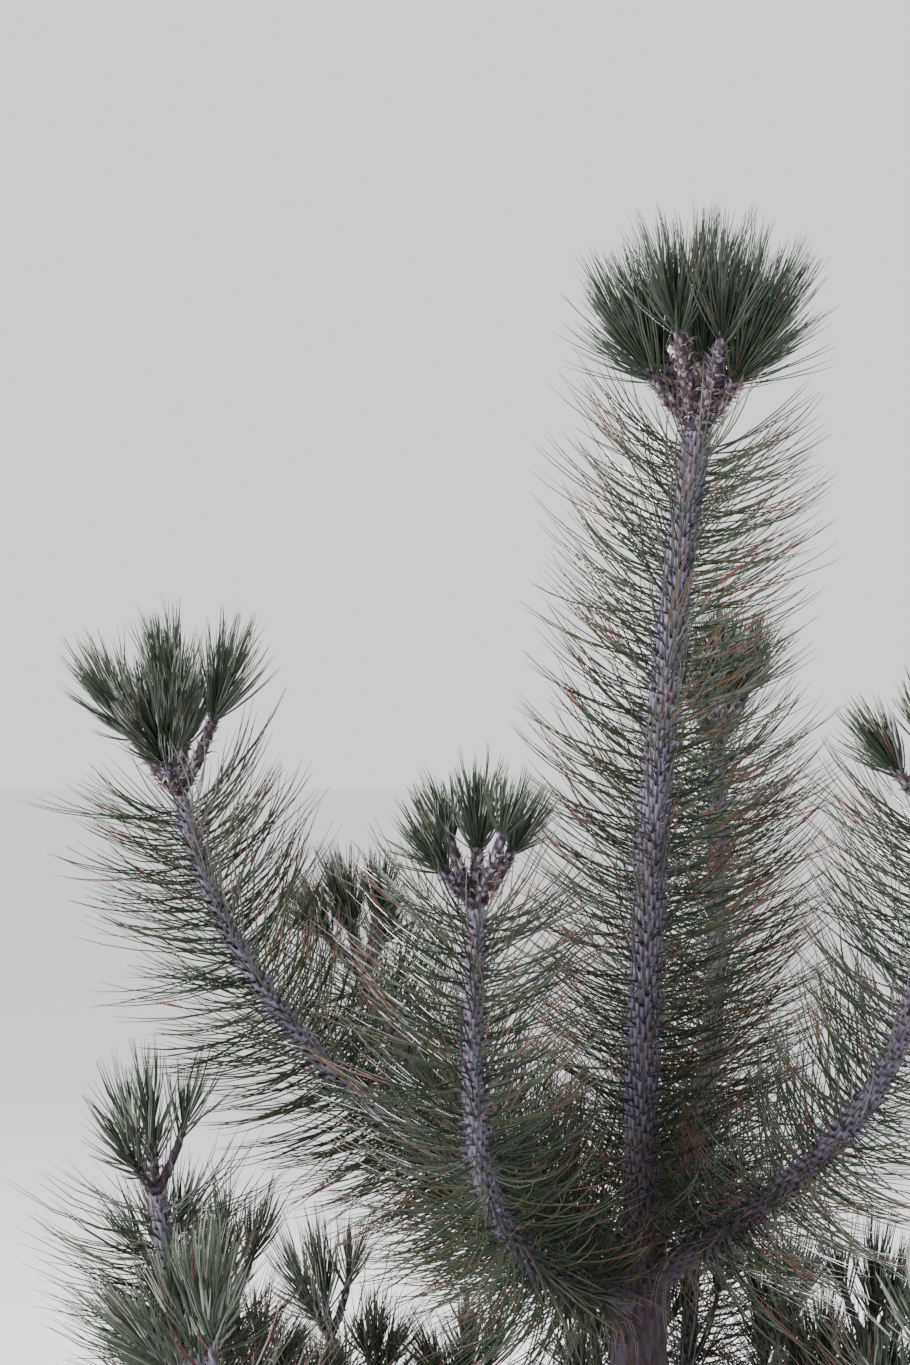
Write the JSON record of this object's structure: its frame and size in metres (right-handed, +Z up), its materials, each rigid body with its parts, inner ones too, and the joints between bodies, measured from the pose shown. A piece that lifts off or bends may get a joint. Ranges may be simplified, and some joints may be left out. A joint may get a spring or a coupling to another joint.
{
  "type": "young pine tree",
  "caption": "Young long-needled pine with a leaning leader, upswept boughs in whorls and clusters of new shoots, rooted at a flat ground cut.",
  "frame": {"origin": "middle of the flat cut through the trunk at ground level", "axes": "+Z up along the trunk, +X to the right and -Y towards the viewer of the pictured side"},
  "size_m": [1.0536, 1.0585, 1.9649],
  "materials": {
    "bark": "rough grey-purple young bark with ridged needle cushions on the leader and shallow fissures below",
    "needles": "dark green needles with a low waxy gloss, many with russet tips",
    "new_needles": "fresh green needles of the new shoots with pale papery scales at their feet"
  },
  "bodies": {
    "root": {"bough_centre": "bark", "bough_left": "bark", "bough_rear_left": "bark", "bough_rear_right": "bark", "bough_right": "bark", "bough_second_front_left": "bark", "bough_second_front_right": "bark", "bough_second_left": "bark", "bough_second_rear": "bark", "bough_second_rear_left": "bark", "bough_second_right": "bark", "bough_third_1": "bark", "bough_third_2": "bark", "bough_third_3": "bark", "bough_third_4": "bark", "bough_third_5": "bark", "leader_needles_1": "needles", "leader_needles_2": "needles", "leader_needles_3": "needles", "leader_needles_4": "needles", "leader_tuft": "new_needles", "needles_centre": "needles", "needles_left": "needles", "needles_rear_left": "needles", "needles_rear_right": "needles", "needles_right": "needles", "needles_second_front_left": "needles", "needles_second_front_right": "needles", "needles_second_left": "needles", "needles_second_rear": "needles", "needles_second_rear_left": "needles", "needles_second_right": "needles", "needles_third_1": "needles", "needles_third_2": "needles", "needles_third_3": "needles", "needles_third_4": "needles", "needles_third_5": "needles", "trunk": "bark", "tuft_centre": "new_needles", "tuft_left": "new_needles", "tuft_rear_left": "new_needles", "tuft_rear_right": "new_needles", "tuft_right": "new_needles"}
  },
  "joints": []
}
